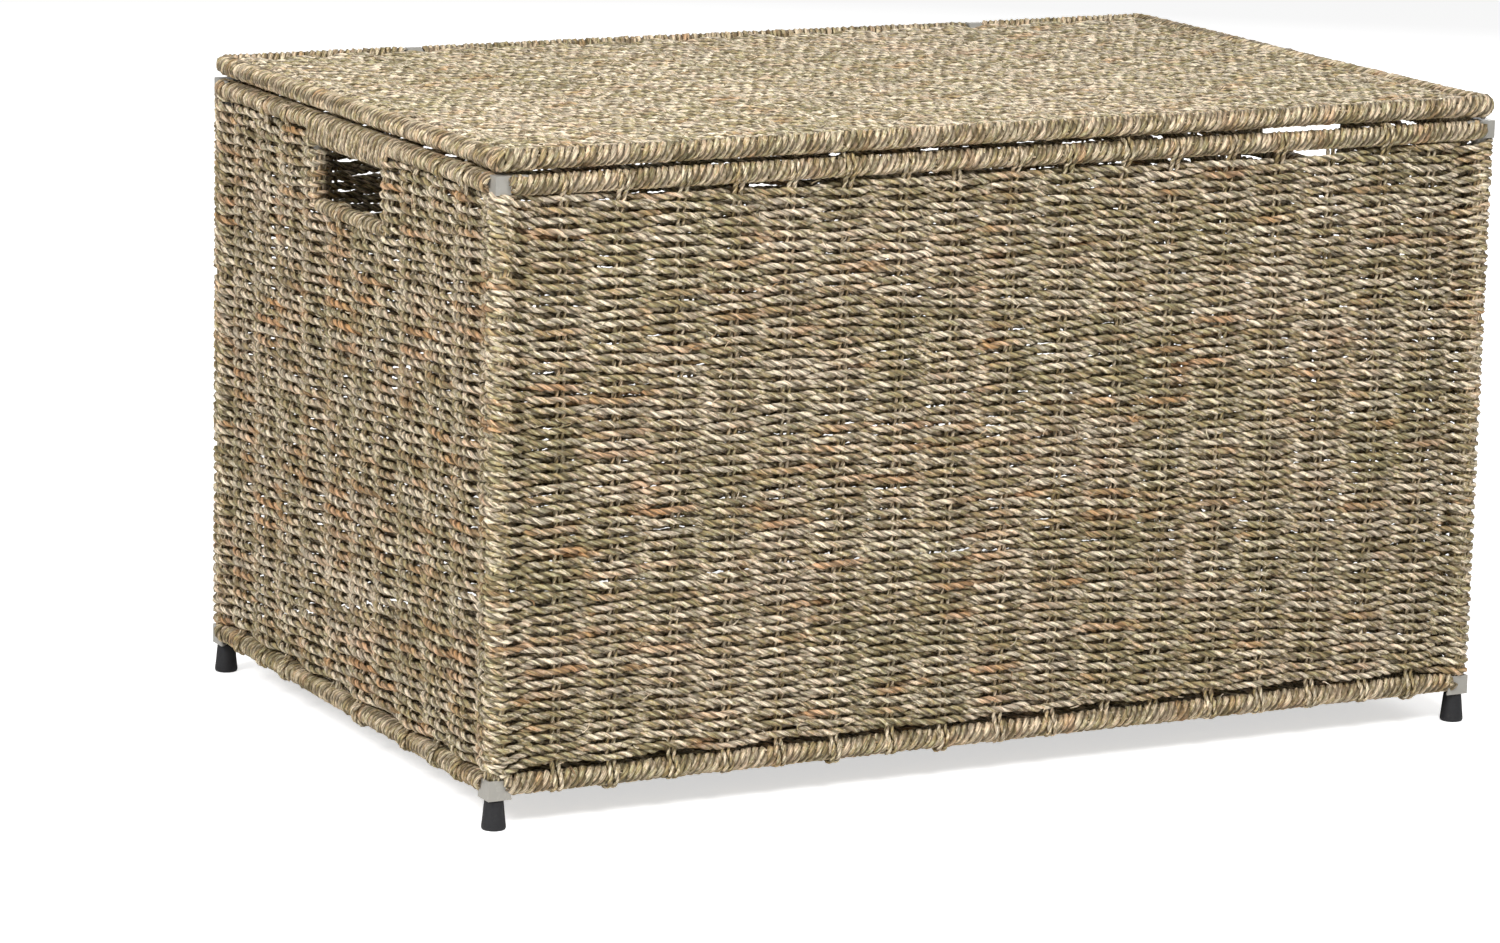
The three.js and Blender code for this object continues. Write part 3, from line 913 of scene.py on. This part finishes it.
RIM_PITCH = 4.1 * MM
BASE_PITCH = 4.6 * MM
SILL_PITCH = 3.4 * MM
GRIP_PITCH = 3.0 * MM
GRIP_OVERRUN = 2.2 * MM

# How far the last turns at a corner go on over a gusset, how far they climb out and up, and how near
# a winding's end has to be to a corner to do so
OVER_TOP_GUSSET = 11.0 * MM
OVER_BASE_GUSSET = 4.0 * MM
CLIMB_OUT = 2.8 * MM
CLIMB_UP = 0.9 * MM
NEAR_CORNER = 30.0 * MM


def node_run(node_name, axis, at, outward, over_gusset=OVER_TOP_GUSSET):
    """The course of a straight winding. At a corner its last turns climb over the gusset's end."""
    low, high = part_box(node_name)
    start, end = [list(at), list(at)]
    start[axis], end[axis] = low[axis], high[axis]
    centres, outwards = straight_rod(start, end, outward)
    corner = rim_x if axis == 0 else rim_y
    climb = np.array(outward) * CLIMB_OUT + np.array([0, 0, CLIMB_UP])
    for reached, sign in ((low[axis], -1), (high[axis], 1)):
        if corner - sign * reached > NEAR_CORNER:
            continue
        steps = np.linspace(0, 1, 6)[1:, None]
        last = centres[-1 if sign > 0 else 0]
        onward = np.eye(3)[axis] * sign * over_gusset
        more = last + onward * steps + climb * np.minimum(1, 2 * steps)
        more_out = np.broadcast_to(outwards[0], more.shape)
        centres = np.vstack([centres, more] if sign > 0 else [more[::-1], centres])
        outwards = np.vstack([outwards, more_out])
    return centres, outwards


def body_rims(seed):
    for name, axis, s in (("front", 0, -1), ("back", 0, 1), ("left", 1, -1), ("right", 1, 1)):
        outward = (0, s, 0) if axis == 0 else (s, 0, 0)
        top = (0, s * rim_y, rim_z) if axis == 0 else (s * rim_x, 0, rim_z)
        low = (0, s * base_y, base_z) if axis == 0 else (s * base_x, 0, base_z)
        base = f"base_rim_winding_{name}"
        course = node_run(base, axis, low, outward, OVER_BASE_GUSSET)
        slim_r = base_wrap_r - BASE_SLIM
        rim_winding(f"{base}_cord", [base], "trunk", course, slim_r, BASE_PITCH, seed)
        tops = sorted(n for n in frame["nodes"] if n.startswith(f"top_rim_winding_{name}"))
        for n in tops:
            course = node_run(n, axis, top, outward)
            rim_winding(f"{n}_cord", [n], "trunk", course, rim_wrap_r, RIM_PITCH, seed + 1)
            seed += 1
        seed += 1


def handle_windings(s, name, seed):
    x = s * rim_x
    outward = (s, 0, 0)
    drop = (grip_high.z - grip_low.z) - 2 * rim_wrap_r
    radius, width, thickness = cord_sizes(rim_wrap_r, GRIP_PITCH)
    cords = Cords(f"handle_grip_{name}_cord", seed)
    start, end = grip_low.y - GRIP_OVERRUN, grip_high.y + GRIP_OVERRUN
    centres, outwards = straight_rod((x, start, rim_z), (x, end, rim_z), outward)
    section = oblong_section(radius, drop)
    lay_winding(cords, centres, outwards, section, GRIP_PITCH, width, thickness, warmth=-0.3)
    cords.make(winding_grass, "trunk", "seagrass_winding", f"handle_grip_{name}")
    sill_node = f"handle_sill_winding_{name}"
    course = node_run(sill_node, 1, (x, 0, sill.z), outward)
    rim_winding(f"{sill_node}_cord", [sill_node], "trunk", course, sill_wrap_r, SILL_PITCH, seed + 1)


CORNER_BEND = 4.0 * MM
FRONT_CORNER_BULGE = 0.2
BULGE_REACH = 14 * MM


def lid_rim(seed):
    """The lid's rim, wound in one run from hinge to hinge round the front, and once between them."""
    back_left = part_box("lid_winding_back_left")[1].x
    points, outs = [], []

    def line(a, b, out):
        for t in np.linspace(0, 1, 30):
            points.append(np.array(a) * (1 - t) + np.array(b) * t)
            outs.append(np.array(out, float))

    def bend(centre, start):
        for t in np.radians(np.linspace(start, start + 90, 12)):
            out = np.array([math.cos(t), math.sin(t), 0])
            points.append(np.array([*centre, lid_z]) + CORNER_BEND * out)
            outs.append(out)

    inner_x, inner_y = rim_x - CORNER_BEND, rim_y - CORNER_BEND
    line((back_left, rim_y, lid_z), (-inner_x, rim_y, lid_z), (0, 1, 0))
    bend((-inner_x, inner_y), 90)
    line((-rim_x, inner_y, lid_z), (-rim_x, -inner_y, lid_z), (-1, 0, 0))
    bend((-inner_x, -inner_y), 180)
    line((-inner_x, -rim_y, lid_z), (inner_x, -rim_y, lid_z), (0, -1, 0))
    bend((inner_x, -inner_y), 270)
    line((rim_x, -inner_y, lid_z), (rim_x, inner_y, lid_z), (1, 0, 0))
    bend((inner_x, inner_y), 0)
    line((inner_x, rim_y, lid_z), (-back_left, rim_y, lid_z), (0, 1, 0))
    parts = ("back_left", "left", "front", "right", "back_right")
    around = [f"lid_winding_{part}" for part in parts]
    centres = np.array(points)
    corners = np.array([[-rim_x, -rim_y, lid_z], [rim_x, -rim_y, lid_z]])
    from_corner = np.linalg.norm(centres[:, None] - corners[None], axis=2).min(axis=1)
    swelling = 1 + FRONT_CORNER_BULGE * np.exp(-((from_corner / BULGE_REACH) ** 2))
    course = centres, np.array(outs)
    rim_winding("lid_rim_winding", around, "lid", course, rim_wrap_r, RIM_PITCH, seed, swelling)
    between = "lid_winding_back_middle"
    course = node_run(between, 0, (0, rim_y, lid_z), (0, 1, 0))
    rim_winding("lid_rim_winding_back", [between], "lid", course, rim_wrap_r, RIM_PITCH, seed + 1)


# ---------------------------------------------------------------- steel and rubber


def softened(node_name, name, material, slot, width):
    """The frame's own plate or strap with its sharp edges taken off."""
    source = frame["nodes"][node_name]
    mesh = source.data.copy()
    body = source["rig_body"]
    piece = settle(name, mesh, material, body, slot, node_name)
    bevel = piece.modifiers.new("eased_edges", "BEVEL")
    bevel.width, bevel.segments, bevel.limit_method = width, 2, "ANGLE"
    bevel.angle_limit = math.radians(40)
    smooth = piece.data.polygons
    smooth.foreach_set("use_smooth", np.ones(len(smooth), bool))
    bpy.context.view_layer.update()
    evaluated = piece.evaluated_get(bpy.context.evaluated_depsgraph_get())
    final = bpy.data.meshes.new_from_object(evaluated)
    piece.modifiers.clear()
    piece.data = final
    final.materials.clear()
    final.materials.append(material)
    return piece


def rubber_foot(node_name):
    """A tapered foot with a rounded sole and a small shoulder under the flange."""
    low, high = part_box(node_name)
    centre = (low + high) / 2
    sole = (high.x - low.x) / 2
    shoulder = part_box("base_gusset_front_left")[0].z - 0.3 * MM
    hollow = 0.4 * MM
    profile = [
        (0.62 * sole, hollow),
        (0.66 * sole, 0.0),
        (0.84 * sole, 0.0),
        (0.94 * sole, 0.25 * MM),
        (0.99 * sole, 0.9 * MM),
        (sole, 1.9 * MM),
        (0.985 * sole, 3.2 * MM),
        (0.93 * sole, 0.35 * shoulder),
        (0.85 * sole, 0.7 * shoulder),
        (0.79 * sole, 0.93 * shoulder),
        (0.76 * sole, 0.985 * shoulder),
        (0.70 * sole, shoulder),
    ]
    around = 40
    vertices = []
    for r, z in profile:
        for i in range(around):
            angle = 2 * math.pi * i / around
            vertices.append((centre.x + r * math.cos(angle), centre.y + r * math.sin(angle), z))
    bottom, top = len(vertices), len(vertices) + 1
    vertices += [(centre.x, centre.y, hollow), (centre.x, centre.y, shoulder)]
    faces = []
    for ring in range(0, around * (len(profile) - 1), around):
        for i in range(around):
            after = (i + 1) % around
            faces.append((ring + i, ring + after, ring + around + after, ring + around + i))
    last = around * (len(profile) - 1)
    faces += [(bottom, (i + 1) % around, i) for i in range(around)]
    faces += [(top, last + i, last + (i + 1) % around) for i in range(around)]
    mesh = bpy.data.meshes.new(node_name)
    mesh.from_pydata(vertices, [], faces)
    mesh.polygons.foreach_set("use_smooth", np.ones(len(mesh.polygons), bool))
    mesh.update()
    return settle(f"rubber_{node_name}", mesh, black_rubber, "trunk", "foot_rubber", node_name)


def frame_metal():
    bare_metal = ("corner_post_", "top_rim_rod_", "base_rim_rod_", "lid_rod_", "handle_frame_")
    for name, part in frame["nodes"].items():
        if name.startswith(bare_metal):
            part.data.materials.clear()
            part.data.materials.append(grey_steel)
            part.data.polygons.foreach_set("use_smooth", np.ones(len(part.data.polygons), bool))
    for name in sorted(frame["nodes"]):
        if "_gusset_" in name or name.startswith("hinge_strap_"):
            softened(name, f"{name}_eased", grey_steel, "frame_steel", 0.35 * MM)
        if name.startswith("foot_"):
            rubber_foot(name)


# ---------------------------------------------------------------- making the trunk

long_wall("front", -1, 10)
long_wall("back", 1, 20)
end_wall("left", -1, 30)
end_wall("right", 1, 40)
flat_weave(
    "lid_top", "woven_lid", "lid", lid_grass_painted_lighter,
    pitch=3.2 * MM, step=2.4 * MM, radius=2.05 * MM, seed=50, parts=3)
flat_weave(
    "floor", "woven_floor", "trunk", weft_grass,
    pitch=3.7 * MM, step=3.4 * MM, radius=2.2 * MM, seed=60, parts=2)
clad_posts(65)
body_rims(70)
handle_windings(-1, "left", 100)
handle_windings(1, "right", 104)
lid_rim(110)
frame_metal()

# ---------------------------------------------------------------- floor, light and camera

# How bright the surroundings are as light, how bright they look, and how far the floor is lifted to white
SKY_FILL = 0.27
BACKDROP_GLOW = 0.97
FLOOR_GLOW = 0.6


def studio_floor():
    mesh = bpy.data.meshes.new("studio_floor")
    reach = 40.0
    corners = [(-reach, -reach, 0), (reach, -reach, 0), (reach, reach, 0), (-reach, reach, 0)]
    mesh.from_pydata(corners, [], [(0, 1, 2, 3)])
    floor = bpy.data.objects.new("studio_floor", mesh)
    bpy.context.scene.collection.objects.link(floor)
    material, tree, shader = new_material("pale_floor")
    shader.inputs["Base Color"].default_value = (0.93, 0.93, 0.93, 1)
    shader.inputs["Roughness"].default_value = 0.9
    seen = tree.nodes.new("ShaderNodeLightPath").outputs["Is Camera Ray"]
    tree.links.new(maths(tree, "MULTIPLY", seen, FLOOR_GLOW), shader.inputs["Emission Strength"])
    shader.inputs["Emission Color"].default_value = (1, 1, 1, 1)
    mesh.materials.append(material)


def soft_light(name, place, target, size, power):
    data = bpy.data.lights.new(name, "AREA")
    data.shape, data.size, data.energy = "DISK", size, power
    lamp = bpy.data.objects.new(name, data)
    lamp.location = place
    lamp.rotation_euler = (Vector(target) - Vector(place)).to_track_quat("-Z", "Y").to_euler()
    bpy.context.scene.collection.objects.link(lamp)


def studio_light():
    world = bpy.data.worlds.new("studio")
    bpy.context.scene.world = world
    world.use_nodes = True
    tree = world.node_tree
    backdrop = tree.nodes["Background"].inputs
    backdrop["Color"].default_value = (1, 1, 1, 1)
    seen = tree.nodes.new("ShaderNodeLightPath").outputs["Is Camera Ray"]
    strength = maths(tree, "MULTIPLY_ADD", seen, BACKDROP_GLOW - SKY_FILL, SKY_FILL)
    tree.links.new(strength, backdrop["Strength"])
    soft_light("over_front", (-0.3, -2.0, 2.2), (0, 0, 0.2), 1.0, 55)
    soft_light("left_side", (-2.3, -0.7, 1.9), (0, 0, 0.2), 1.0, 51)
    soft_light("behind", (1.7, 2.3, 1.5), (0, 0, 0.2), 1.4, 27)


def place_camera():
    """A long lens from the front left, a little above the lid."""
    azimuth, elevation, roll = (math.radians(d) for d in (-27.49, 11.889, -1.29))
    distance, shift_right, shift_up = 3.58478, -0.05691, -0.05395
    aim = Vector((0, 0, 0.2))
    level = math.cos(elevation)
    back = Vector((math.sin(azimuth) * level, -math.cos(azimuth) * level, math.sin(elevation)))
    right = Vector((math.cos(azimuth), math.sin(azimuth), 0))
    up = back.cross(right)
    x_axis = math.cos(roll) * right - math.sin(roll) * up
    y_axis = math.sin(roll) * right + math.cos(roll) * up
    data = bpy.data.cameras.new("camera")
    data.lens, data.sensor_width = 135.94, 36.0
    data.clip_start, data.clip_end = 0.05, 100.0
    camera = bpy.data.objects.new("camera", data)
    turned = Matrix((x_axis, y_axis, back)).transposed().to_4x4()
    turned.translation = aim + right * shift_right + up * shift_up + back * distance
    camera.matrix_world = turned
    bpy.context.scene.collection.objects.link(camera)
    bpy.context.scene.camera = camera


studio_floor()
studio_light()
place_camera()
bpy.context.scene.view_settings.view_transform = "Standard"
